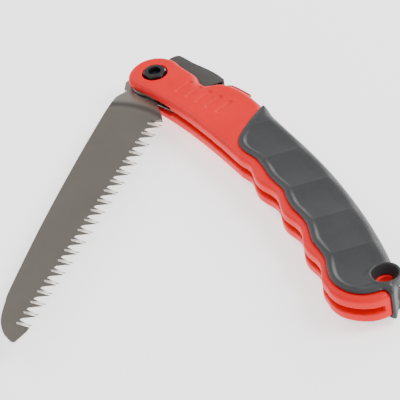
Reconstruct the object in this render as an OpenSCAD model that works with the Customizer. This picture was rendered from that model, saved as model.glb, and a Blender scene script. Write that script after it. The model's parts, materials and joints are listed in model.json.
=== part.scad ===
// Folding pruning saw, lying on its side with the blade part open.
// The pivot axis and the lanyard hole run along Z. +X runs from the pivot to the rear end,
// +Y is the spine side, and the origin is on the lanyard hole's axis in the middle plane.

/* [Blade] */
// Blade thickness
blade_t = 1.4; // [1.0:0.1:1.6]
// Angle by which the blade stands open from its folded place
open_angle = 49; // [45:1:60]
// Distance between two pairs of teeth
pair_pitch = 7.41; // [7.2:0.01:7.5]
// Distance between the two tips of a pair
pair_gap = 2.7; // [2.2:0.1:3.2]
// Depth of the deep gullets
tooth_h = 6.7; // [5:0.1:7]

/* [Handle] */
// Half of the moulded body's thickness
body_hz = 7.2; // [6.5:0.1:8]
// Thickness of the rubber on the body
rubber_t = 1.6; // [1:0.1:2]
// Half of the blade slot's width
slot_hz = 1.5; // [1.4:0.1:1.8]
// Radius of the rounded head about the pivot
head_r = 13; // [12.5:0.1:13.2]
// Depth of the finger grooves in the belly
groove_a = 1.4; // [0.5:0.1:2]

/* [Pivot] */
// Radius of the pivot bolt
bolt_r = 3; // [2.5:0.1:3]
// Nut size across its flats
nut_af = 10; // [8:0.5:11]
// Height of the nut
nut_h = 3.4; // [3:0.2:4.4]

/* [Lock] */
// Half of the thumb lever's width
lever_hz = 3.8; // [3.6:0.1:4.2]
// Radius of the lever pin and of the stop pin
pin_r = 1.5; // [1.2:0.1:1.6]

/* [Lanyard hole] */
// Radius of the bore
hole_r = 3.5; // [3:0.1:4]
// Radius of the rubber rim's mouth
rim_r = 6.3; // [5.5:0.1:6.6]

/* [Hidden] */
$fn = 64;

hole_at = [198, 5.5];          // lanyard hole, counted from the pivot
hole_web = 3.5;                // half length of the bore's wall
hole_pocket_r = 7.4;           // pocket that the rubber rim fills
fit = 0.05;                    // radial clearance of pins, sleeve and bolt
cam_r = 13;                    // round rim of the blade's tang
lever_pin_at = [13, 9.5];
stop_pin_at = [20, 11];
pin_hz = 5.5;                  // half length of both pins
nut_seat = 4.6;                // floor of the nut's recess in the near cheek
nut_recess_r = 6.1;
bolt_end = 6;                  // the bolt ends below the nut's top
liner_z = 1.3;                 // inner face of each liner
liner_t = 1.2;
washer_z = 0.75;
washer_t = 0.5;
sleeve_r = 4.5;
bolt_head_r = 6;
bolt_head_h = 3.4;
lever_rivet_at = [[5.6, 17.2], [11.5, 18.6]];
lever_rivet_r = 1;
lever_rivet_end = 3.2;         // blind end inside the lever's near side
liner_rivet_at = [[-7.5, -5], [20, -1]];
liner_rivet_r = 1.2;
liner_rivet_head_r = 2;
liner_rivet_head_z = 2.1;
snug = 0.02;                   // clearance round pins and rivets that don't turn
pawl_hz = 1.1;
pawl_bush_r = 2.3;
lever_well_hz = lever_hz + 0.3; // room for the lever between the cheeks
grip_x = 57;                   // front of the rubber on the spine
grip_hz = body_hz + rubber_t;

// A smooth curve through every point of p, with n steps between neighbours
function curve(p, n = 4) = [
    for (i = [0 : len(p) - 2], k = [0 : n - 1])
        let (t = k / n, a = p[max(i - 1, 0)], b = p[i], c = p[i + 1], d = p[min(i + 2, len(p) - 1)])
        0.5 * (2 * b + (c - a) * t + (2 * a - 5 * b + 4 * c - d) * t * t
               + (3 * b - a - 3 * c + d) * t * t * t),
    p[len(p) - 1]];
function arc(r, a0, a1, n) = [for (k = [0 : n]) let (a = a0 + (a1 - a0) * k / n) r * [cos(a), sin(a)]];
function reverse(p) = [for (i = [len(p) - 1 : -1 : 0]) p[i]];
function shifted(p, d) = [for (q = p) q + d];

// Belly edge: a smooth line with finger grooves from x 82 to 190
belly_base = [[-3, -12.6], [10, -9.2], [24, -6.2], [40, -4], [56, -2.7], [72, -2], [88, -1.8],
              [104, -2.3], [118, -3.4], [131, -5], [145, -7.4], [158, -10.2], [172, -13.8], [184, -17.2]];
rear_base = [[184, -17.2], [190, -18.8], [197, -17.9], [203.2, -14.2], [207.8, -9], [209.6, -4],
             [209.8, 0.4]];
groove_pitch = 27.4;
function groove(x) = x < 82 || x > 188 ? 0
    : groove_a * sin(360 * (123 - x) / groove_pitch) * min(1, (x - 82) / 8, (188 - x) / 8);
belly = concat([for (q = curve(belly_base, 6)) [q[0], q[1] + groove(q[0])]],
               [for (i = [1 : len(curve(rear_base)) - 1])
                   let (q = curve(rear_base)[i]) [q[0], q[1] + groove(q[0])]]);

// Spine of the rubber, from its front to the rear end
grip_spine = [[grip_x, 27.2], [66, 27.4], [80, 27.4], [97, 27.4], [115, 26.8], [135, 24.9], [157, 21.6],
              [171, 18.7], [184, 15.5], [193, 12.7], [200, 9.9], [206, 6.2], [209.9, 2.4], [211.4, 0.4]];
// Spine of the moulded body under the rubber
body_spine = [[grip_x, 25.6], [66, 25.8], [80, 25.8], [97, 25.8], [115, 25.2], [135, 23.3], [157, 20], [171, 17.1],
              [184, 13.9], [193, 11.1], [199, 8.7], [204.6, 5], [208.2, 1.8], [209.8, 0.4]];
// Bare spine in front of the rubber, down through the thumb scoop to the head
front_spine = [[2, 12.95], [9, 13.9], [14.2, 14.8], [17, 14.3], [20, 13.7], [23, 14.4], [25.4, 16.4],
               [27, 19.4], [29, 21.9], [33, 24.1], [39, 25.9], [45, 26.8], [51, 27.2], [grip_x, 27.2]];
// Boundary of the rubber on the flanks, from the spine to the rear end
grip_edge = [[grip_x, 27.2], [59.2, 23], [62.8, 16.6], [67, 10.5], [71, 5.6], [76, 2.6], [82, 2], [90, 3.2],
             [98, 2.6], [105, 1.4], [112, 1.2], [118, 1.2], [124, -0.6], [131, -2.2], [138, -2.4],
             [145, -3], [151, -5], [158, -7.6], [165, -8.4], [172, -9.6], [179, -12.8], [185, -15],
             [191, -15.4], [197, -14], [201.4, -11.2], [204.2, -7.8], [205.6, -4.2], [206.4, -1], [208.2, 0.3],
             [211.4, 0.4]];
// Room for the blade, open towards the belly and, at the head, towards the spine too
slot_edge = [[-30, 60], [27, 60], [27, 17], [31, 16.3], [60, 14.8], [110, 12], [157, 9], [181, 7],
             [187, 5.6], [192, 4], [195, 1], [199, -1.5], [204, -2.2], [214, -2.4], [214, -40], [-30, -40]];
// Each liner's outline behind the round head
liner_tail = [[0, -11.4], [6, -9.9], [12, -8.2], [14, -6.6], [22, -4.2], [24, -3.4], [24, 12.4], [15, 13],
              [0, 12.2]];

// Leaf spring's middle line, from under the lever's tail to the anchor
spring_line = [[20.6, 20.4], [23.5, 21], [25.6, 22.2], [26.6, 24.6], [28.4, 26.3], [32, 27.6], [40, 29.4]];
spring_t = 0.8;
spring_hz = 2.5;
spring_rivet_x = 36.5;
spring_rivet_r = 1.5;
// Raised seat on the spine that carries the spring
seat_hz = 3.2;
spring_seat = [[27.2, 19], [27.2, 23.6], [28.2, 25.2], [30, 26.4], [32, 27.1], [40.4, 28.95], [42, 28.5],
               [47, 26.5], [47, 23], [34, 21]];

// Lever's side outline and the pawl's
lever_top = [[-9.2, 12.8], [-9.3, 15.8], [-8.6, 17.6], [-6.6, 18.7], [1, 20.3], [7, 22.2], [13, 23.9],
             [18, 24.8], [22.6, 25.2]];
pawl_room = [[-20, 10], [-20, 16.2], [-10.2, 16.6], [-6.6, 17], [0, 18], [6.4, 19.8], [12, 21.5], [16.7, 22],
             [16.7, 10]];
lever_low = [[22.8, 16], [22, 14.8], [20, 14], [8, 14]];
tail_cut = [[17, 10], [17, 22.6], [19, 24], [40, 24], [40, 10]];
lever_well = [[-30, 13.3], [1, 13.3], [6, 12.9], [24.6, 12.9], [27, 17], [27, 60], [-30, 60]];
pawl_outline = concat([[-10.2, 16.5], [-6.6, 16.9], [0, 17.9], [6.4, 19.7], [12, 21.4], [16.6, 21.8], [16.5, 13],
                       [17, 9.5]],
                      shifted(arc(4, -6, -98, 14), lever_pin_at), arc(13.5, 24.6, 75.4, 18),
                      arc(16.2, 77.9, 126.2, 18));

// Blade in its own frame: the pivot is the origin, +X points to the tip, teeth towards +Y
tooth_x0 = 30.4;
pairs = 21;
function gullet_y(x) = 7 - (x - 32) * 0.0615;
teeth = [for (i = [pairs - 1 : -1 : 0])
             let (x = tooth_x0 + i * pair_pitch)
             each [[x + pair_gap + (pair_pitch - pair_gap) / 2, gullet_y(x + 5) + 0.7],
                   [x + pair_gap, gullet_y(x + pair_gap) + tooth_h],
                   [x + pair_gap / 2, gullet_y(x + pair_gap / 2)],
                   [x, gullet_y(x) + tooth_h]]];
blade_tip = concat(curve([[157, -14.3], [167, -13], [175.5, -11.4], [181.5, -9.3], [186.5, -6.1], [190.4, -2.3],
                          [192.2, 0.4]], 3), [[191.9, 1.6], [184.2, 4.3]]);
blade_back = curve([[19, -16.7], [30, -17.2], [67, -17.4], [112, -16.6], [157, -14.3]], 5);
tang_notch = [[-1.9, -13.4], [2, -15.2], [7.6, -13.9], [8.6, -12], [11.6, -14.6], [14, -16]];
blade_root = [[28.4, 8], [27.4, 12.8], [24, 11.2], [17.5, 6.9]];
blade_outline = concat(arc(cam_r, 20, 258, 40), tang_notch, blade_back,
                       [for (i = [1 : len(blade_tip) - 1]) blade_tip[i]],
                       [for (i = [1 : len(teeth) - 1]) teeth[i]], blade_root);

module from_pivot() {
    translate([-hole_at[0], -hole_at[1], 0]) children();
}
module plate(z0, z1) {
    translate([0, 0, z0]) linear_extrude(z1 - z0) children();
}
module rod(at, r, z0, z1) {
    translate([at[0], at[1], z0]) cylinder(h = z1 - z0, r = r);
}
module ribbon(line, t) {
    n = len(line) - 1;
    side = [for (i = [0 : n])
                let (d = line[min(i + 1, n)] - line[max(i - 1, 0)])
                [-d[1], d[0]] / norm(d) * t / 2];
    polygon(concat([for (i = [0 : n]) line[i] + side[i]], [for (i = [n : -1 : 0]) line[i] - side[i]]));
}

// One-piece moulded body: two cheeks joined along the spine and at the rear end
module handle_body() {
    color("red") from_pivot() difference() {
        union() {
            plate(-body_hz, body_hz) {
                circle(r = head_r);
                polygon(concat(belly, reverse(curve(body_spine)), reverse(curve(front_spine, 3)),
                               [[-3, 12.6]]));
            }
            plate(-seat_hz, seat_hz) polygon(spring_seat);
        }
        plate(-slot_hz, slot_hz) polygon(slot_edge);
        plate(-liner_z - liner_t, liner_z + liner_t) liner_pocket();
        plate(-lever_well_hz, lever_well_hz) polygon(lever_well);
        rod([0, 0], nut_recess_r, nut_seat, 20);
        rod([0, 0], bolt_r + fit, -20, 20);
        rod(lever_pin_at, pin_r + snug, -pin_hz - 0.1, pin_hz + 0.1);
        rod(stop_pin_at, pin_r + snug, -pin_hz - 0.1, pin_hz + 0.1);
        for (at = liner_rivet_at) rod(at, liner_rivet_r + snug, -pin_hz - 0.1, pin_hz + 0.1);
        spring_rivet_rod(spring_rivet_r + snug, 21, 31);
        rod(hole_at, hole_r, -20, 20);
        for (s = [-1, 1]) rod(hole_at, hole_pocket_r, s > 0 ? hole_web : -20, s > 0 ? 20 : -hole_web);
    }
}
module liner_pocket() {
    circle(r = head_r + 5);
    polygon([[0, -30], [24.2, -30], [24.2, 40], [0, 40]]);
}
module spring_rivet_rod(r, y0, y1) {
    translate([spring_rivet_x, y0, 0]) rotate([-90, 0, 0]) cylinder(h = y1 - y0, r = r);
}

// Rubber skin over the flanks, round the spine and the rear end
module grip_overmould() {
    color("dimgray") from_pivot() difference() {
        union() {
            difference() {
                plate(-grip_hz, grip_hz)
                    polygon(concat(curve(grip_edge, 3), reverse(curve(grip_spine))));
                plate(-body_hz, body_hz)
                    polygon(concat(belly, reverse(curve(body_spine))));
            }
            for (s = [0, 1]) mirror([0, 0, s]) rod(hole_at, hole_pocket_r, hole_web, grip_hz);
        }
        for (s = [0, 1]) mirror([0, 0, s])
            translate([hole_at[0], hole_at[1], hole_web])
                cylinder(h = grip_hz - hole_web, r1 = hole_r + 0.8, r2 = rim_r);
        plate(-hole_web, hole_web) translate(hole_at) circle(r = hole_pocket_r + 0.2);
    }
}

module liner(side) {
    mirror([0, 0, side > 0 ? 0 : 1]) difference() {
        plate(liner_z, liner_z + liner_t) {
            circle(r = 12);
            polygon(liner_tail);
        }
        rod([0, 0], bolt_r + fit, 0, 9);
        rod(lever_pin_at, pin_r + snug, 0, 9);
        rod(stop_pin_at, pin_r + snug, 0, 9);
        for (at = liner_rivet_at) {
            rod(at, liner_rivet_head_r + snug, 0, liner_rivet_head_z);
            rod(at, liner_rivet_r + snug, 0, 9);
        }
    }
}
module liner_near() { color("silver") from_pivot() liner(1); }
module liner_far() { color("silver") from_pivot() liner(-1); }

module liner_rivets(side) {
    mirror([0, 0, side > 0 ? 0 : 1]) for (at = liner_rivet_at) {
        rod(at, liner_rivet_head_r, liner_z, liner_rivet_head_z);
        rod(at, liner_rivet_r, 2, pin_hz);
    }
}
module liner_rivets_near() { color("gray") from_pivot() liner_rivets(1); }
module liner_rivets_far() { color("gray") from_pivot() liner_rivets(-1); }

module blade() {
    color("lightgray") from_pivot() rotate(-open_angle) difference() {
        plate(-blade_t / 2, blade_t / 2) polygon(blade_outline);
        rod([0, 0], sleeve_r + fit, -9, 9);
    }
}

module washer(side) {
    mirror([0, 0, side > 0 ? 0 : 1]) difference() {
        rod([0, 0], 9, washer_z, washer_z + washer_t);
        rod([0, 0], sleeve_r + fit, 0, 9);
    }
}
module washer_near() { color("peru") from_pivot() washer(1); }
module washer_far() { color("peru") from_pivot() washer(-1); }

module pivot_sleeve() {
    color("gray") from_pivot() difference() {
        rod([0, 0], sleeve_r, -liner_z, liner_z);
        rod([0, 0], bolt_r + fit, -9, 9);
    }
}
// Bolt with a low round head on the far side, ending inside the nut
module pivot_bolt() {
    color("black") from_pivot() rotate_extrude()
        polygon([[0, -body_hz - bolt_head_h], [bolt_head_r - 1.2, -body_hz - bolt_head_h],
                 [bolt_head_r, -body_hz - bolt_head_h + 1], [bolt_head_r, -body_hz], [bolt_r, -body_hz],
                 [bolt_r, bolt_end - 0.6], [bolt_r - 0.6, bolt_end], [0, bolt_end]]);
}
module pivot_nut() {
    corner_r = nut_af / sqrt(3);
    color("black") from_pivot() difference() {
        intersection() {
            rotate(8) translate([0, 0, nut_seat]) cylinder(h = nut_h, r = corner_r, $fn = 6);
            rotate_extrude() polygon([[0, nut_seat], [corner_r + 1, nut_seat],
                                      [corner_r + 1, nut_seat + nut_h - 1.1],
                                      [nut_af / 2 - 0.2, nut_seat + nut_h], [0, nut_seat + nut_h]]);
        }
        rod([0, 0], bolt_r + fit, 0, 20);
    }
}

// Thumb lever: a deep slab between the cheeks, slotted for the pawl and hollow under its tail
module lock_lever() {
    color("darkslategray") from_pivot() difference() {
        plate(-lever_hz, lever_hz) difference() {
            polygon(concat(curve(lever_top, 3), lever_low));
            circle(r = head_r + 0.6);
        }
        plate(-pawl_hz - snug, pawl_hz + snug) polygon(pawl_room);
        plate(-spring_hz - 0.4, spring_hz + 0.4) polygon(tail_cut);
        for (at = lever_rivet_at) rod(at, lever_rivet_r + snug, -9, lever_rivet_end);
    }
}

// Hardened pawl plate in the lever's slot, with the hook over the tang's rim
module lock_pawl() {
    color("slategray") from_pivot() difference() {
        plate(-pawl_hz, pawl_hz) polygon(pawl_outline);
        rod(lever_pin_at, pawl_bush_r, -9, 9);
        for (at = lever_rivet_at) rod(at, lever_rivet_r + snug, -9, 9);
    }
}
module lever_rivets() {
    color("silver") from_pivot()
        for (at = lever_rivet_at) rod(at, lever_rivet_r, -lever_hz, lever_rivet_end);
}
module lever_bush() {
    color("peru") from_pivot() difference() {
        rod(lever_pin_at, pawl_bush_r - snug, -pawl_hz, pawl_hz);
        rod(lever_pin_at, pin_r + fit, -9, 9);
    }
}
module lever_pin() { color("silver") from_pivot() rod(lever_pin_at, pin_r, -pin_hz, pin_hz); }
module stop_pin() { color("silver") from_pivot() rod(stop_pin_at, pin_r, -pin_hz, pin_hz); }

module leaf_spring() {
    color("dimgray") from_pivot() difference() {
        plate(-spring_hz, spring_hz) ribbon(curve(spring_line, 3), spring_t);
        spring_rivet_rod(spring_rivet_r + snug, 21, 31);
    }
}
// Rivet through the spring into the spine, with a low head
module spring_rivet() {
    color("silver") from_pivot() spring_rivet_rod(spring_rivet_r, 23, 29.5);
}

handle_body();
grip_overmould();
liner_near();
liner_far();
liner_rivets_near();
liner_rivets_far();
blade();
washer_near();
washer_far();
pivot_sleeve();
pivot_bolt();
pivot_nut();
lock_lever();
lock_pawl();
lever_rivets();
lever_bush();
lever_pin();
leaf_spring();
spring_rivet();
stop_pin();
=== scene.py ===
import json
import math

import bmesh
import bpy
import numpy as np
from mathutils import Matrix, Vector


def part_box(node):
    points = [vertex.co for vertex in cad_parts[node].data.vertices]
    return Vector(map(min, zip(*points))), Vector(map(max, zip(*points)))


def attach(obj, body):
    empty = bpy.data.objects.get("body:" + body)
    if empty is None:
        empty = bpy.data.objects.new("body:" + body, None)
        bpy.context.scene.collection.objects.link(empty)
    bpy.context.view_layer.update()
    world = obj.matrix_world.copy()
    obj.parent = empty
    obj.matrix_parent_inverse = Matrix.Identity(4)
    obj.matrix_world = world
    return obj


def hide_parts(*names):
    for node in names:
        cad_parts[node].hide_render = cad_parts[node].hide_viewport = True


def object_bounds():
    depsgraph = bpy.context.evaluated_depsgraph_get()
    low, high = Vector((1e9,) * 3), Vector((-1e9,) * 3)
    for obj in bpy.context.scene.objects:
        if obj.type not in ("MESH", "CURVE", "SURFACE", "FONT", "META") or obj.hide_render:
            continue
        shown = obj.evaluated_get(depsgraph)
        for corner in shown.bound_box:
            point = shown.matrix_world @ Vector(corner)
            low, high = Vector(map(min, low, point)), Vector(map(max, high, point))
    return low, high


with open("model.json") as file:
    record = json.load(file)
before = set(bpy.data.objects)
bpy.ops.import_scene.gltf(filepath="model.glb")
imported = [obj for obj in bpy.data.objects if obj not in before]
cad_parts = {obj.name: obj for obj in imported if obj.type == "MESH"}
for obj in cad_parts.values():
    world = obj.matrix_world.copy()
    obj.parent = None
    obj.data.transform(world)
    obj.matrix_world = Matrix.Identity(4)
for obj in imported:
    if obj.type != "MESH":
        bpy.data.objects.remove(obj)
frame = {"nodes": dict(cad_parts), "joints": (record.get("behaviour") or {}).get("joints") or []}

CAD_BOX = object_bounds()
MM = 0.001
JOINTS = {j["name"]: j for j in frame["joints"]}
PIVOT = Vector(JOINTS["blade_fold"]["pos_m"])
FOLD_ANGLE = math.radians(JOINTS["blade_fold"]["range_deg"][0])
HOLE_FROM_PIVOT = Vector((-PIVOT.x, -PIVOT.y)) / MM
BODY_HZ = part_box("handle_body")[1].z / MM
GRIP_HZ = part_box("grip_overmould")[1].z / MM
BLADE_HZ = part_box("blade")[1].z / MM
LINER_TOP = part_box("liner_near")[1].z / MM


# ---------------------------------------------------------------- outlines, in mm from the pivot

def curve(points, steps=6):
    """A smooth curve through every point."""
    p = [np.array(q, float) for q in points]
    out = []
    for i in range(len(p) - 1):
        a, b, c, d = p[max(i - 1, 0)], p[i], p[i + 1], p[min(i + 2, len(p) - 1)]
        for k in range(steps):
            t = k / steps
            out.append(0.5 * (2 * b + (c - a) * t + (2 * a - 5 * b + 4 * c - d) * t**2
                              + (3 * b - a - 3 * c + d) * t**3))
    out.append(p[-1])
    return out


def arc(radius, start, end, steps, centre=(0, 0)):
    angles = np.radians(np.linspace(start, end, steps + 1))
    return [np.array(centre, float) + radius * np.array((math.cos(a), math.sin(a))) for a in angles]


def evenly(points, spacing, closed=True):
    """The same outline with points at an even spacing."""
    p = np.array(points, float)
    if closed:
        p = np.vstack([p, p[:1]])
    run = np.concatenate([[0], np.cumsum(np.linalg.norm(np.diff(p, axis=0), axis=1))])
    count = max(3, int(round(run[-1] / spacing)))
    where = np.linspace(0, run[-1], count, endpoint=not closed)
    return np.stack([np.interp(where, run, p[:, k]) for k in (0, 1)], 1)


GROOVE_DEPTH, GROOVE_PITCH, GROOVE_FROM, GROOVE_TO = 1.4, 27.4, 82, 188
GROOVE_PHASE = 123


def groove(x):
    if x < GROOVE_FROM or x > GROOVE_TO:
        return 0.0
    fade = min(1, (x - GROOVE_FROM) / 8, (GROOVE_TO - x) / 8)
    return GROOVE_DEPTH * math.sin(2 * math.pi * (GROOVE_PHASE - x) / GROOVE_PITCH) * fade


HEAD_R = 13
SLOT_HZ = 1.5
BELLY_BASE = [(-3, -12.6), (10, -9.2), (24, -6.2), (40, -4), (56, -2.7), (72, -2), (88, -1.8),
              (104, -2.3), (118, -3.4), (131, -5), (145, -7.4), (158, -10.2), (172, -13.8),
              (184, -17.2), (190, -18.8), (197, -17.9), (203.2, -14.2), (207.8, -9), (209.6, -4),
              (209.8, 0.4)]
BODY_SPINE = [(57, 25.6), (66, 25.8), (80, 25.8), (97, 25.8), (115, 25.2), (135, 23.3), (157, 20),
              (171, 17.1), (184, 13.9), (193, 11.1), (199, 8.7), (204.6, 5), (208.2, 1.8),
              (209.8, 0.4)]
FRONT_SPINE = [(2, 12.95), (9, 13.9), (14.2, 14.8), (17, 14.3), (20, 13.7), (23, 14.4), (25.4, 16.4),
               (27, 19.4), (29, 21.9), (33, 24.1), (39, 25.9), (45, 26.8), (51, 27.2), (56, 27.2)]
GRIP_SPINE = [(57, 27.2), (66, 27.4), (80, 27.4), (97, 27.4), (115, 26.8), (135, 24.9), (157, 21.6),
              (171, 18.7), (184, 15.5), (193, 12.7), (200, 9.9), (206, 6.2), (209.6, 3.1),
              (210.9, 1.7), (210.6, 0.8)]
GRIP_EDGE = [(57, 27.2), (59.2, 23), (62.8, 16.6), (67, 10.5), (71, 5.6), (76, 2.6), (82, 2),
             (90, 3.2), (98, 2.6), (105, 1.4), (112, 1.2), (118, 1.2), (124, -0.6), (131, -2.2),
             (138, -2.4), (145, -3), (151, -5), (158, -7.6), (165, -8.4), (172, -9.6), (179, -12.8),
             (185, -15), (191, -15.4), (197, -14), (201.4, -11.2), (204.2, -7.8), (205.6, -4.2),
             (206.4, -1), (208, 0.2), (210.6, 0.8)]
SLOT_EDGE = [(-30, 60), (27, 60), (27, 17), (31, 16.3), (60, 14.8), (110, 12), (157, 9), (181, 7),
             (187, 5.6), (192, 4), (195, 1), (199, -1.5), (204, -2.2), (214, -2.4), (214, -40),
             (-30, -40)]
LEVER_WELL = [(-30, 13.3), (1, 13.3), (6, 12.9), (24.6, 12.9), (27, 17), (27, 60), (-30, 60)]
LINER_POCKET = [(-30, -30), (24.2, -30), (24.2, 40), (-30, 40)]
SPRING_SEAT = [(27.2, 19), (27.2, 23.6), (28.2, 25.2), (30, 26.4), (32, 27.1), (40.4, 28.95),
               (42, 28.5), (47, 26.5), (47, 23), (34, 21)]


def belly():
    return [q + (0, groove(q[0])) for q in curve(BELLY_BASE)]


def body_outline():
    head = arc(HEAD_R, 97, 257, 40)
    return evenly(head + belly() + curve(BODY_SPINE)[::-1] + curve(FRONT_SPINE)[::-1], 0.9)


def grip_outline():
    return evenly(curve(GRIP_EDGE) + curve(GRIP_SPINE)[::-1], 0.8)


# ---------------------------------------------------------------- meshes

def mesh_object(name, verts, faces, scale=MM):
    mesh = bpy.data.meshes.new(name)
    mesh.from_pydata([tuple(np.array(v, float) * scale) for v in verts], [], faces)
    mesh.validate()
    obj = bpy.data.objects.new(name, mesh)
    bpy.context.scene.collection.objects.link(obj)
    bm = bmesh.new()
    bm.from_mesh(mesh)
    bmesh.ops.recalc_face_normals(bm, faces=bm.faces)
    bm.to_mesh(mesh)
    bm.free()
    return obj


def distance_to(line, x, y):
    """How far each point is from a line of points."""
    best = np.full(len(x), 1e9)
    for a, b in zip(line[:-1], line[1:]):
        d = np.array(b) - a
        t = np.clip(((x - a[0]) * d[0] + (y - a[1]) * d[1]) / max(d @ d, 1e-9), 0, 1)
        best = np.minimum(best, np.hypot(x - a[0] - t * d[0], y - a[1] - t * d[1]))
    return best


def inset(outline, distance):
    """The outline moved inwards, with the points that would cross over drawn onto a short chord."""
    after, before = np.roll(outline, -1, 0), np.roll(outline, 1, 0)
    along = after - before
    along /= np.linalg.norm(along, axis=1)[:, None]
    normal = np.stack([-along[:, 1], along[:, 0]], 1)
    area = np.sum(outline[:, 0] * after[:, 1] - after[:, 0] * outline[:, 1])
    moved = outline + normal * distance[:, None] * (1 if area > 0 else -1)
    closed = np.vstack([outline, outline[:1]])
    good = distance_to(closed, *moved.T) > distance * 0.985 - 1e-6
    n = len(outline)
    index = np.arange(n)
    kept = index[good]
    around = np.concatenate([kept - n, kept, kept + n])
    for k in (0, 1):
        moved[:, k] = np.interp(index, around, np.tile(moved[good, k], 3))
    return moved


def rounded_slab(name, outline, hz, radius, steps=6):
    """A slab of half thickness hz with its rim rounded on both faces."""
    angles = np.radians(np.linspace(90, 0, steps + 1))
    rings = [(radius * (1 - math.cos(a)), hz - radius * (1 - math.sin(a))) for a in angles]
    rings += [(d, -z) for d, z in rings[::-1]]
    n = len(outline)
    verts, faces = [], []
    for d, z in rings:
        depth, height = np.broadcast_to(d, n), np.broadcast_to(z, n)
        verts += [(x, y, h) for (x, y), h in zip(inset(outline, depth), height)]
    for r in range(len(rings) - 1):
        for i in range(n):
            j = (i + 1) % n
            faces.append((r * n + i, r * n + j, (r + 1) * n + j, (r + 1) * n + i))
    faces.append(tuple(range(n)))
    faces.append(tuple(range((len(rings) - 1) * n, len(rings) * n))[::-1])
    return mesh_object(name, verts, faces)


def slab(name, outline, z0, z1):
    n = len(outline)
    verts = [(x, y, z) for z in (z0, z1) for x, y in outline]
    faces = [tuple(range(n))[::-1], tuple(range(n, 2 * n))]
    faces += [(i, (i + 1) % n, n + (i + 1) % n, n + i) for i in range(n)]
    return mesh_object(name, verts, faces)


def cone(name, at, z0, r0, z1, r1, sides=48):
    ring = [(math.cos(2 * math.pi * i / sides), math.sin(2 * math.pi * i / sides)) for i in range(sides)]
    verts = [(at[0] + r * c, at[1] + r * s, z) for z, r in ((z0, r0), (z1, r1)) for c, s in ring]
    faces = [tuple(range(sides))[::-1], tuple(range(sides, 2 * sides))]
    faces += [(i, (i + 1) % sides, sides + (i + 1) % sides, sides + i) for i in range(sides)]
    return mesh_object(name, verts, faces)


def cut(obj, *tools, operation="DIFFERENCE"):
    for tool in tools:
        m = obj.modifiers.new("cut", "BOOLEAN")
        m.operation, m.object, m.solver = operation, tool, "EXACT"
        apply_all(obj)
        bpy.data.objects.remove(tool)
    return obj


def apply_all(obj):
    bpy.context.view_layer.update()
    depsgraph = bpy.context.evaluated_depsgraph_get()
    mesh = bpy.data.meshes.new_from_object(obj.evaluated_get(depsgraph))
    obj.modifiers.clear()
    old, obj.data = obj.data, mesh
    bpy.data.meshes.remove(old)


def voxel(obj, size, smooth=4):
    m = obj.modifiers.new("voxel", "REMESH")
    m.mode, m.voxel_size, m.adaptivity = "VOXEL", size * MM, 0
    m.use_smooth_shade = True
    s = obj.modifiers.new("smooth", "SMOOTH")
    s.factor, s.iterations = 0.5, smooth
    apply_all(obj)


def coords(obj):
    co = np.empty(len(obj.data.vertices) * 3)
    obj.data.vertices.foreach_get("co", co)
    return co.reshape(-1, 3) / MM


def set_coords(obj, co):
    obj.data.vertices.foreach_set("co", (co * MM).ravel())
    obj.data.update()


def settle(obj, node, body, material):
    """Moves a piece made about the pivot to its place, and hands it to the frame."""
    obj.data.transform(Matrix.Translation((PIVOT.x, PIVOT.y, 0)))
    hand_over(obj, node, body, material)


def hand_over(obj, node, body, material):
    obj.data.materials.clear()
    obj.data.materials.append(material)
    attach(obj, body)
    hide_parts(*([node] if isinstance(node, str) else node))


def smoothstep(a, b, x):
    t = np.clip((x - a) / (b - a), 0, 1)
    return t * t * (3 - 2 * t)


# ---------------------------------------------------------------- materials

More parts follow.
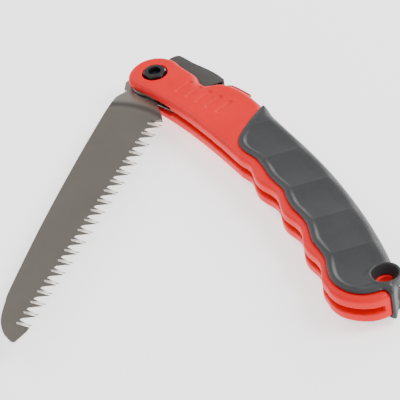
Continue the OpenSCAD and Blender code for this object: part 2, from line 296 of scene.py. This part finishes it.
class Nodes:
    """A short way to build a material's nodes."""

    def __init__(self, name):
        self.material = bpy.data.materials.new(name)
        self.material.use_nodes = True
        self.tree = self.material.node_tree
        self.shader = next(n for n in self.tree.nodes if n.type == "BSDF_PRINCIPLED")
        self.bump_from = None

    def add(self, kind, **values):
        node = self.tree.nodes.new(kind)
        for key, value in values.items():
            if hasattr(node, key):
                setattr(node, key, value)
        return node

    def link(self, out, into):
        self.tree.links.new(out, into)

    def noise(self, scale, detail=4.0, rough=0.6, stretch=(1, 1, 1), source=None):
        at = self.add("ShaderNodeMapping")
        at.inputs["Scale"].default_value = stretch
        self.link(source or self.add("ShaderNodeTexCoord").outputs["Object"], at.inputs["Vector"])
        node = self.add("ShaderNodeTexNoise")
        node.inputs["Scale"].default_value = scale
        node.inputs["Detail"].default_value = detail
        node.inputs["Roughness"].default_value = rough
        self.link(at.outputs["Vector"], node.inputs["Vector"])
        return node.outputs["Fac"]

    def ramp(self, fac, *stops):
        node = self.add("ShaderNodeValToRGB")
        elements = node.color_ramp.elements
        while len(elements) < len(stops):
            elements.new(0.5)
        for element, (place, colour) in zip(elements, stops):
            element.position = place
            element.color = (*colour, 1) if len(colour) == 3 else colour
        self.link(fac, node.inputs["Fac"])
        return node.outputs["Color"]

    def mix(self, fac, a, b, blend="MIX"):
        node = self.add("ShaderNodeMix", data_type="RGBA", blend_type=blend)
        for socket, value in ((node.inputs[0], fac), (node.inputs[6], a), (node.inputs[7], b)):
            if hasattr(value, "links"):
                self.link(value, socket)
            else:
                socket.default_value = value if not isinstance(value, tuple) else (*value, 1)
        return node.outputs[2]

    def math(self, operation, a, b=0.5, clamp=False):
        node = self.add("ShaderNodeMath", operation=operation, use_clamp=clamp)
        for socket, value in zip(node.inputs, (a, b)):
            if hasattr(value, "links"):
                self.link(value, socket)
            else:
                socket.default_value = value
        return node.outputs[0]

    def span(self, fac, low, high):
        node = self.add("ShaderNodeMapRange")
        self.link(fac, node.inputs["Value"])
        node.inputs["To Min"].default_value = low
        node.inputs["To Max"].default_value = high
        return node.outputs["Result"]

    def window(self, fac, start, end):
        """0 before start, 1 after end, smooth between."""
        node = self.add("ShaderNodeMapRange", interpolation_type="SMOOTHSTEP")
        self.link(fac, node.inputs["Value"])
        node.inputs["From Min"].default_value = start
        node.inputs["From Max"].default_value = end
        return node.outputs["Result"]

    def edges(self, start=0.52, end=0.6):
        """1 on convex edges, 0 elsewhere, where the materials mix in a lighter colour."""
        return self.window(self.add("ShaderNodeNewGeometry").outputs["Pointiness"], start, end)

    def attribute(self, name):
        return self.add("ShaderNodeAttribute", attribute_name=name).outputs["Fac"]

    def colour(self, value):
        self.link(value, self.shader.inputs["Base Color"])

    def roughness(self, value):
        self.link(value, self.shader.inputs["Roughness"])

    def bump(self, height, strength, distance=0.0002):
        node = self.add("ShaderNodeBump")
        node.inputs["Strength"].default_value = strength
        node.inputs["Distance"].default_value = distance
        self.link(height, node.inputs["Height"])
        if self.bump_from is not None:
            self.link(self.bump_from, node.inputs["Normal"])
        self.bump_from = node.outputs["Normal"]
        self.link(self.bump_from, self.shader.inputs["Normal"])

    def fixed(self, **values):
        for key, value in values.items():
            self.shader.inputs[key.replace("_", " ")].default_value = value


def red_plastic():
    m = Nodes("red_moulded_plastic")
    mottle = m.noise(60, 3)
    base = m.ramp(mottle, (0.3, (0.74, 0.002, 0.005)), (0.7, (0.82, 0.004, 0.008)))
    m.colour(m.mix(m.edges(0.53, 0.62), base, (0.80, 0.04, 0.03)))
    m.roughness(m.span(m.noise(700, 3), 0.34, 0.48))
    m.bump(m.noise(2600, 2), 0.10, 0.00008)
    m.bump(m.noise(90, 2), 0.12, 0.0004)
    m.fixed(Specular_IOR_Level=0.18)
    return m.material


def grip_rubber():
    m = Nodes("grip_rubber")
    dust = m.noise(45, 5, 0.65)
    base = m.ramp(dust, (0.35, (0.022, 0.0225, 0.024)), (0.72, (0.033, 0.0335, 0.035)))
    m.colour(m.mix(m.edges(0.53, 0.63), base, (0.075, 0.075, 0.078)))
    m.roughness(m.span(m.noise(500, 4), 0.38, 0.52))
    grain = m.noise(1500, 3, 0.7)
    m.bump(grain, 0.35, 0.00015)
    m.fixed(Specular_IOR_Level=0.45)
    return m.material


def blade_steel():
    m = Nodes("blade_steel")
    along, across = m.attribute("blade_x"), m.attribute("blade_y")
    hard = m.attribute("hardened")
    plain = m.mix(m.noise(35, 4), (0.165, 0.148, 0.130), (0.205, 0.186, 0.164))
    # Painted light and shade: the colour is lighter near the pivot, and darker in a band of painted shade
    # along a shallow bow across the blade, 19 mm from the pivot.
    bow = m.math("ADD", across, 9.0)
    shade_bow = m.math("ADD", m.math("MULTIPLY", m.math("MULTIPLY", bow, bow), 0.015), 19.0)
    band = m.math("SUBTRACT", along, shade_bow)
    root = m.window(band, 6, -7)
    # Painted light: the blade is lighter towards the pivot.
    body = m.mix(root, plain, (0.30, 0.28, 0.25))
    # Painted shade: a darker band along the bow.
    body = m.mix(m.window(m.math("ABSOLUTE", band), 3.6, 0.0), body, (0.11, 0.10, 0.09))
    heat = m.math("MULTIPLY", hard, m.span(m.noise(260, 2), 0.85, 1.0))
    burnt = m.ramp(heat, (0.0, (0.0, 0.0, 0.0)), (0.66, (0.0, 0.0, 0.0)), (0.80, (1.0, 1.0, 1.0)))
    # Painted reflection: the tooth facets are painted bright whichever way they face.
    body = m.mix(m.attribute("painted_reflection_facet"), body, (0.88, 0.85, 0.79))
    m.colour(m.mix(burnt, body, (0.018, 0.019, 0.024)))
    grain = m.noise(900, 3, 0.6, stretch=(0.12, 1.0, 1.0), source=m.add(
        "ShaderNodeAttribute", attribute_name="blade_frame").outputs["Vector"])
    m.roughness(m.span(grain, 0.27, 0.42))
    m.bump(grain, 0.12, 0.00003)
    m.fixed(Metallic=0.92, Specular_IOR_Level=0.5)
    return m.material


def plain_metal(name, dark, light, rough, metallic=1.0, grain=(1, 1, 1), grain_scale=900, bump=0.12,
                edge=None):
    m = Nodes(name)
    base = m.mix(m.noise(120, 4), dark, light)
    if edge:
        base = m.mix(m.edges(0.53, 0.64), base, edge)
    m.colour(base)
    streak = m.noise(grain_scale, 3, 0.6, stretch=grain)
    m.roughness(m.span(streak, rough[0], rough[1]))
    m.bump(streak, bump, 0.00004)
    m.fixed(Metallic=metallic)
    return m.material


RED = red_plastic()
RUBBER = grip_rubber()
BLADE = blade_steel()
BLACK = plain_metal("black_oxide", (0.012, 0.012, 0.013), (0.03, 0.03, 0.031), (0.26, 0.42), 0.55,
                    edge=(0.24, 0.24, 0.24))
LEVER = plain_metal("lever_grey", (0.045, 0.043, 0.040), (0.068, 0.065, 0.060), (0.42, 0.58), 0.35,
                    grain_scale=1500, bump=0.3, edge=(0.15, 0.15, 0.14))
LINER = plain_metal("ground_steel", (0.20, 0.20, 0.19), (0.28, 0.275, 0.265), (0.25, 0.4), grain=(0.1, 1, 1))
SPRING = plain_metal("blued_spring", (0.05, 0.05, 0.055), (0.09, 0.09, 0.095), (0.3, 0.45), 0.8,
                     grain=(0.1, 1, 1), edge=(0.3, 0.3, 0.3))
PIN = plain_metal("turned_steel", (0.5, 0.5, 0.5), (0.66, 0.66, 0.65), (0.2, 0.34))
BRONZE = plain_metal("bearing_bronze", (0.5, 0.31, 0.13), (0.62, 0.41, 0.19), (0.3, 0.5))


# ---------------------------------------------------------------- the pieces

BODY_ROUND = 2.6
BODY_VOXEL = 0.45
LEVER_PIN = np.array(JOINTS["lever_press"]["pos_m"][:2]) / MM - np.array(PIVOT[:2]) / MM
STOP_PIN = (20, 11)
HOLE = tuple(HOLE_FROM_PIVOT)
HOLE_R, HOLE_WEB, HOLE_POCKET_R, RIM_R = 3.5, 3.5, 7.4, 6.3
LEVER_WELL_HZ, SPRING_SEAT_HZ = 4.1, 3.15
BOLT_HOLE_R, PIN_HOLE_R, PIN_HOLE_HZ = 3.05, 1.55, 5.6
THROUGH = 20
# Five plain slanted grooves decorate each side of the head.
GROOVES, GROOVE_AT, GROOVE_STEP, GROOVE_RUN = 5, (20.0, 1.6), (6.6, 1.7), (-2.0, 7.8)
GROOVE_CUT = 0.75
NUT_SEAT, NUT_RECESS_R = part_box("pivot_nut")[0].z / MM, 6.1


def handle_shell():
    obj = rounded_slab("handle_shell", body_outline(), BODY_HZ, BODY_ROUND)
    cut(obj, slab("spring_seat", SPRING_SEAT, -SPRING_SEAT_HZ, SPRING_SEAT_HZ), operation="UNION")
    cut(obj, slab("slot", SLOT_EDGE[::-1], -SLOT_HZ, SLOT_HZ),
        slab("pocket", LINER_POCKET, -LINER_TOP, LINER_TOP),
        slab("lever_well", LEVER_WELL, -LEVER_WELL_HZ, LEVER_WELL_HZ),
        cone("nut_recess", (0, 0), NUT_SEAT, NUT_RECESS_R, THROUGH, NUT_RECESS_R),
        cone("bolt_hole", (0, 0), -THROUGH, BOLT_HOLE_R, THROUGH, BOLT_HOLE_R),
        cone("lever_pin_hole", LEVER_PIN, -PIN_HOLE_HZ, PIN_HOLE_R, PIN_HOLE_HZ, PIN_HOLE_R),
        cone("stop_pin_hole", STOP_PIN, -PIN_HOLE_HZ, PIN_HOLE_R, PIN_HOLE_HZ, PIN_HOLE_R),
        cone("bore", HOLE, -THROUGH, HOLE_R, THROUGH, HOLE_R),
        cone("near_pocket", HOLE, HOLE_WEB, HOLE_POCKET_R, THROUGH, HOLE_POCKET_R),
        cone("far_pocket", HOLE, -THROUGH, HOLE_POCKET_R, -HOLE_WEB, HOLE_POCKET_R))
    voxel(obj, BODY_VOXEL, 3)
    co = coords(obj)
    x, y, z = co.T
    # The thumb scoop dishes both cheeks beside the lever's tail.
    near = np.exp(-(((x - 20.5) / 5.5) ** 2 + ((y - 13.5) / 3.2) ** 2))
    outer = smoothstep(LEVER_WELL_HZ + 0.6, BODY_HZ - 0.5, np.abs(z))
    z -= np.sign(z) * 1.2 * near * outer
    # The flanks are slightly crowned.
    middle = 10 + 0.05 * x
    z -= np.sign(z) * outer * 0.35 * np.clip(np.abs(y - middle) / 18, 0, 1) ** 2
    for k in range(GROOVES):
        at = np.array(GROOVE_AT) + k * np.array(GROOVE_STEP)
        away = distance_to([at, at + GROOVE_RUN], x, y)
        z -= np.sign(z) * outer * GROOVE_CUT * (1 - smoothstep(0.8, 1.5, away))
    set_coords(obj, np.stack([x, y, z], 1))
    settle(obj, "handle_body", "handle", RED)


CREASE_X, CREASE_PITCH, CREASE_LEAN = 93.0, 27.2, 0.25
DISH_DEPTH = 1.15


def grip_shell():
    outline = grip_outline()
    edge, spine = curve(GRIP_EDGE)[:-1], curve(GRIP_SPINE)
    to_edge = distance_to(edge, *outline.T)
    radius = 1.3 + 4.0 * smoothstep(0.5, 9.0, to_edge)
    obj = rounded_slab("grip_shell", outline, GRIP_HZ, radius)
    core = rounded_slab("core", body_outline(), BODY_HZ + 0.02, BODY_ROUND)
    cut(obj, core)
    plugs = [cone("plug", HOLE, s * HOLE_WEB, HOLE_POCKET_R - 0.02, s * GRIP_HZ, HOLE_POCKET_R - 0.02)
             for s in (1, -1)]
    cut(obj, *plugs, operation="UNION")
    cut(obj, *[cone("funnel", HOLE, s * (HOLE_WEB - 0.5), HOLE_R + 0.7, s * (GRIP_HZ + 0.5), RIM_R + 0.2)
               for s in (1, -1)])
    voxel(obj, BODY_VOXEL, 3)
    co = coords(obj)
    x, y, z = co.T
    outer = smoothstep(BODY_HZ + 0.5, GRIP_HZ - 0.5, np.abs(z))
    t = (x - CREASE_LEAN * (y - 4) - CREASE_X) / CREASE_PITCH
    bowl = np.abs(np.sin(math.pi * t)) ** 0.75
    first = smoothstep(-1.15, -0.95, t)
    rim = smoothstep(1.6, 4.2, distance_to(edge, x, y)) * smoothstep(1.0, 9.0, distance_to(spine, x, y))
    hole = smoothstep(7.2, 8.4, np.hypot(x - HOLE[0], y - HOLE[1]))
    z -= np.sign(z) * outer * DISH_DEPTH * bowl * first * rim * hole
    # The rubber's border along the finger grooves lies a little lower than the pads.
    z -= np.sign(z) * outer * 0.3 * (1 - smoothstep(1.4, 2.6, distance_to(edge, x, y)))
    set_coords(obj, np.stack([x, y, z], 1))
    settle(obj, "grip_overmould", "handle", RUBBER)


PAIRS, TOOTH_X0, PAIR_PITCH, PAIR_GAP, TOOTH_H = 21, 30.4, 7.41, 2.7, 6.7
GULLET_X, GULLET_Y, GULLET_SLOPE, SHALLOW = 32, 7, 0.0615, 0.7
BEVEL = 1.0
BLADE_BORE_R = 4.55
TANG = [(-1.9, -13.4), (2, -15.2), (7.6, -13.9), (8.6, -12), (11.6, -14.6), (14, -16)]
BACK = [(19, -16.7), (30, -17.2), (67, -17.4), (112, -16.6), (157, -14.3), (167, -13), (175.5, -11.4),
        (181.5, -9.3), (186.5, -6.1), (190.4, -2.3), (192.2, 0.4)]
CLIPPED = [(191.9, 1.6), (184.2, 4.3)]
ROOT = [(28.4, 8), (27.4, 12.8), (24, 11.2), (17.5, 6.9)]


def gullet(x):
    return GULLET_Y - (x - GULLET_X) * GULLET_SLOPE


def tooth_points():
    """Points along the teeth from tip end to root: (near face point, far face point, hardness)."""
    out = []
    for i in range(PAIRS - 1, -1, -1):
        x = TOOTH_X0 + i * PAIR_PITCH
        for start, near_ground in ((x + PAIR_GAP, False), (x, True)):
            # Each tooth is ground on both its flanks, from one face only.
            between_pairs = (PAIR_PITCH - PAIR_GAP, SHALLOW)
            within_pair = (PAIR_GAP, 0.0)
            ahead, behind = (between_pairs, within_pair) if start > x else (within_pair, between_pairs)
            after, before = start + ahead[0] / 2 - 0.15, start - behind[0] / 2 + 0.15
            foot_a = (after, gullet(after) + ahead[1])
            foot_b = (before, gullet(before) + behind[1])
            tip = (start, gullet(start) + TOOTH_H)
            for (px, py), side, hard in ((foot_a, 1, 0), (tip, 0, 1), (foot_b, -1, 0)):
                full = np.array((px, py))
                ground = full - np.array((side * BEVEL * 0.85, BEVEL * (3.6 if hard else 0.7)))
                out.append((ground, full, hard) if near_ground else (full, ground, hard))
    return out


def toothed_blade():
    plain = arc(HEAD_R, 20, 258, 60) + [np.array(q, float) for q in TANG] + curve(BACK, 8)
    plain += [np.array(q, float) for q in CLIPPED]
    rows = [(q, q, 0) for q in plain]
    rows += tooth_points()[1:]
    rows += [(np.array(q, float),) * 2 + (0,) for q in ROOT]
    n = len(rows)
    near = [(*a, BLADE_HZ) for a, _, _ in rows]
    far = [(*b, -BLADE_HZ) for _, b, _ in rows]
    faces = [tuple(range(n)), tuple(range(n, 2 * n))[::-1]]
    faces += [(i, n + i, n + (i + 1) % n, (i + 1) % n) for i in range(n)]
    obj = mesh_object("toothed_blade", near + far, faces)
    cut(obj, cone("pivot_bore", (0, 0), -5, BLADE_BORE_R, 5, BLADE_BORE_R))
    bm = bmesh.new()
    bm.from_mesh(obj.data)
    bmesh.ops.triangulate(bm, faces=bm.faces, quad_method="BEAUTY", ngon_method="BEAUTY")
    # Cut the flat faces along the teeth so that the hardened tips have their own vertices.
    for rise in (2.5, 4.4, 5.2, 5.9):
        slope = Vector((GULLET_SLOPE, 1, 0)).normalized()
        at = Vector((GULLET_X, GULLET_Y + rise, 0)) * MM
        bmesh.ops.bisect_plane(bm, geom=bm.verts[:] + bm.edges[:] + bm.faces[:], plane_co=at, plane_no=slope,
                               dist=1e-7)
    bm.to_mesh(obj.data)
    bm.free()
    co = coords(obj)
    height = co[:, 1] - gullet(co[:, 0])
    hard = np.where((co[:, 0] > 29) & (co[:, 0] < 183.5), np.clip(height / TOOTH_H, 0, 1), 0)
    for name, values in (("blade_x", co[:, 0]), ("blade_y", co[:, 1]), ("hardened", hard)):
        layer = obj.data.attributes.new(name, "FLOAT", "POINT")
        layer.data.foreach_set("value", values.astype(np.float32))
    count = len(obj.data.polygons)
    normals, centres = np.empty(count * 3), np.empty(count * 3)
    obj.data.polygons.foreach_get("normal", normals)
    obj.data.polygons.foreach_get("center", centres)
    centres = centres.reshape(-1, 3) / MM
    # The sloping faces along the teeth are marked for a painted reflection, which the blade material paints
    # bright.
    sloping = np.abs(normals[2::3]) < 0.95
    ground = sloping & (centres[:, 1] > gullet(centres[:, 0]) - 1.5) & (centres[:, 0] > 29)
    facet = obj.data.attributes.new("painted_reflection_facet", "FLOAT", "FACE")
    facet.data.foreach_set("value", ground.astype(np.float32))
    frame_layer = obj.data.attributes.new("blade_frame", "FLOAT_VECTOR", "POINT")
    frame_layer.data.foreach_set("vector", (co * MM).astype(np.float32).ravel())
    obj.data.transform(Matrix.Rotation(FOLD_ANGLE, 4, "Z"))
    settle(obj, "blade", "blade", BLADE)


def eased_copy(node, name, width, body, material, segments=3, angle=28):
    """A copy of a CAD node with its sharp edges eased."""
    source = frame["nodes"][node]
    mesh = source.data.copy()
    obj = bpy.data.objects.new(name, mesh)
    bpy.context.scene.collection.objects.link(obj)
    bm = bmesh.new()
    bm.from_mesh(mesh)
    bmesh.ops.remove_doubles(bm, verts=bm.verts, dist=2e-6)
    bmesh.ops.dissolve_limit(bm, angle_limit=math.radians(0.5), verts=bm.verts, edges=bm.edges)
    bm.to_mesh(mesh)
    bm.free()
    bevel = obj.modifiers.new("ease", "BEVEL")
    bevel.width, bevel.segments = width * MM, segments
    bevel.limit_method, bevel.angle_limit = "ANGLE", math.radians(angle)
    bevel.harden_normals = False
    apply_all(obj)
    hand_over(obj, node, body, material)
    return obj


def smooth_by_angle(obj, angle=32):
    mesh = obj.data
    mesh.shade_smooth()
    limit = math.cos(math.radians(angle))
    bm = bmesh.new()
    bm.from_mesh(mesh)
    for e in bm.edges:
        e.smooth = len(e.link_faces) == 2 and e.link_faces[0].normal.dot(e.link_faces[1].normal) > limit
    bm.to_mesh(mesh)
    bm.free()


handle_shell()
grip_shell()
toothed_blade()
EASED = (
    ("lock_lever", "thumb_lever", 0.45, "lever", LEVER, "lever_metal"),
    ("lock_pawl", "pawl_plate", 0.15, "lever", LINER, "liner_steel"),
    ("lever_rivets", "pawl_rivets", 0.15, "lever", LEVER, "lever_metal"),
    ("lever_bush", "lever_bearing", 0.1, "lever", BRONZE, "bearing_bronze"),
    ("liner_near", "near_side_plate", 0.15, "handle", LINER, "liner_steel"),
    ("liner_far", "far_side_plate", 0.15, "handle", LINER, "liner_steel"),
    ("pivot_nut", "hex_nut", 0.22, "handle", BLACK, "black_steel"),
    ("pivot_bolt", "round_head_bolt", 0.3, "handle", BLACK, "black_steel"),
    ("pivot_sleeve", "turning_sleeve", 0.1, "handle", PIN, "pin_steel"),
    ("washer_near", "near_thrust_washer", 0.08, "handle", BRONZE, "bearing_bronze"),
    ("washer_far", "far_thrust_washer", 0.08, "handle", BRONZE, "bearing_bronze"),
    ("leaf_spring", "spring_strip", 0.15, "handle", SPRING, "spring_steel"),
    ("spring_rivet", "spring_strip_rivet", 0.2, "handle", PIN, "pin_steel"),
    ("liner_rivets_near", "near_plate_rivets", 0.12, "handle", PIN, "pin_steel"),
    ("liner_rivets_far", "far_plate_rivets", 0.12, "handle", PIN, "pin_steel"),
    ("lever_pin", "lever_axle", 0.2, "handle", PIN, "pin_steel"),
    ("stop_pin", "blade_stop", 0.2, "handle", PIN, "pin_steel"),
)
for node, name, width, body, material, slot_name in EASED:
    smooth_by_angle(eased_copy(node, name, width, body, material))


# ---------------------------------------------------------------- floor, lights and camera

def stage():
    floor_z = CAD_BOX[0].z
    bpy.ops.mesh.primitive_plane_add(size=6, location=(0, 0, floor_z - 0.0002))
    floor = bpy.context.object
    floor.name = "floor"
    m = Nodes("floor_white")
    m.fixed(Base_Color=(0.92, 0.92, 0.92, 1), Roughness=0.9, Specular_IOR_Level=0.1,
            Emission_Color=(1, 1, 1, 1), Emission_Strength=1.3)
    floor.data.materials.append(m.material)
    world = bpy.context.scene.world or bpy.data.worlds.new("studio")
    bpy.context.scene.world = world
    world.use_nodes = True
    background = next(n for n in world.node_tree.nodes if n.type == "BACKGROUND")
    background.inputs["Color"].default_value = (1, 1, 1, 1)
    background.inputs["Strength"].default_value = 0.88
    centre = Vector((-0.1, -0.03, 0))
    for name, at, size, power in (("key", (0.5, 0.9, 1.1), 0.7, 18), ("fill", (-1.0, -0.5, 0.9), 0.9, 6),
                                  ("back", (-0.6, 1.1, 0.5), 0.5, 6)):
        data = bpy.data.lights.new(name, "AREA")
        data.size, data.energy = size, power
        lamp = bpy.data.objects.new(name, data)
        bpy.context.scene.collection.objects.link(lamp)
        lamp.location = centre + Vector(at)
        lamp.rotation_euler = (centre - lamp.location).to_track_quat("-Z", "Y").to_euler()


# The camera looks along this heading, this far down, and is rolled by this much.
HEADING, ELEVATION, ROLL = 155.8, 37.97, 9.35
LENS, DISTANCE = 297.0, 1.515
LOOK_FROM_PIVOT = (0.0915, -0.0285, 0.0)


def camera():
    heading, elevation = math.radians(HEADING), math.radians(ELEVATION)
    look = Vector((math.cos(elevation) * math.cos(heading), math.cos(elevation) * math.sin(heading),
                   -math.sin(elevation)))
    level = look.cross(Vector((0, 0, 1))).normalized()
    upright = level.cross(look)
    roll = math.radians(ROLL)
    right = level * math.cos(roll) - upright * math.sin(roll)
    up = level * math.sin(roll) + upright * math.cos(roll)
    data = bpy.data.cameras.new("camera")
    data.lens, data.sensor_width = LENS, 36
    data.clip_end = 10
    cam = bpy.data.objects.new("camera", data)
    bpy.context.scene.collection.objects.link(cam)
    target = PIVOT + Vector(LOOK_FROM_PIVOT)
    rotation = Matrix((right, up, -look)).transposed().to_4x4()
    cam.matrix_world = Matrix.Translation(target - look * DISTANCE) @ rotation
    bpy.context.scene.camera = cam


stage()
camera()
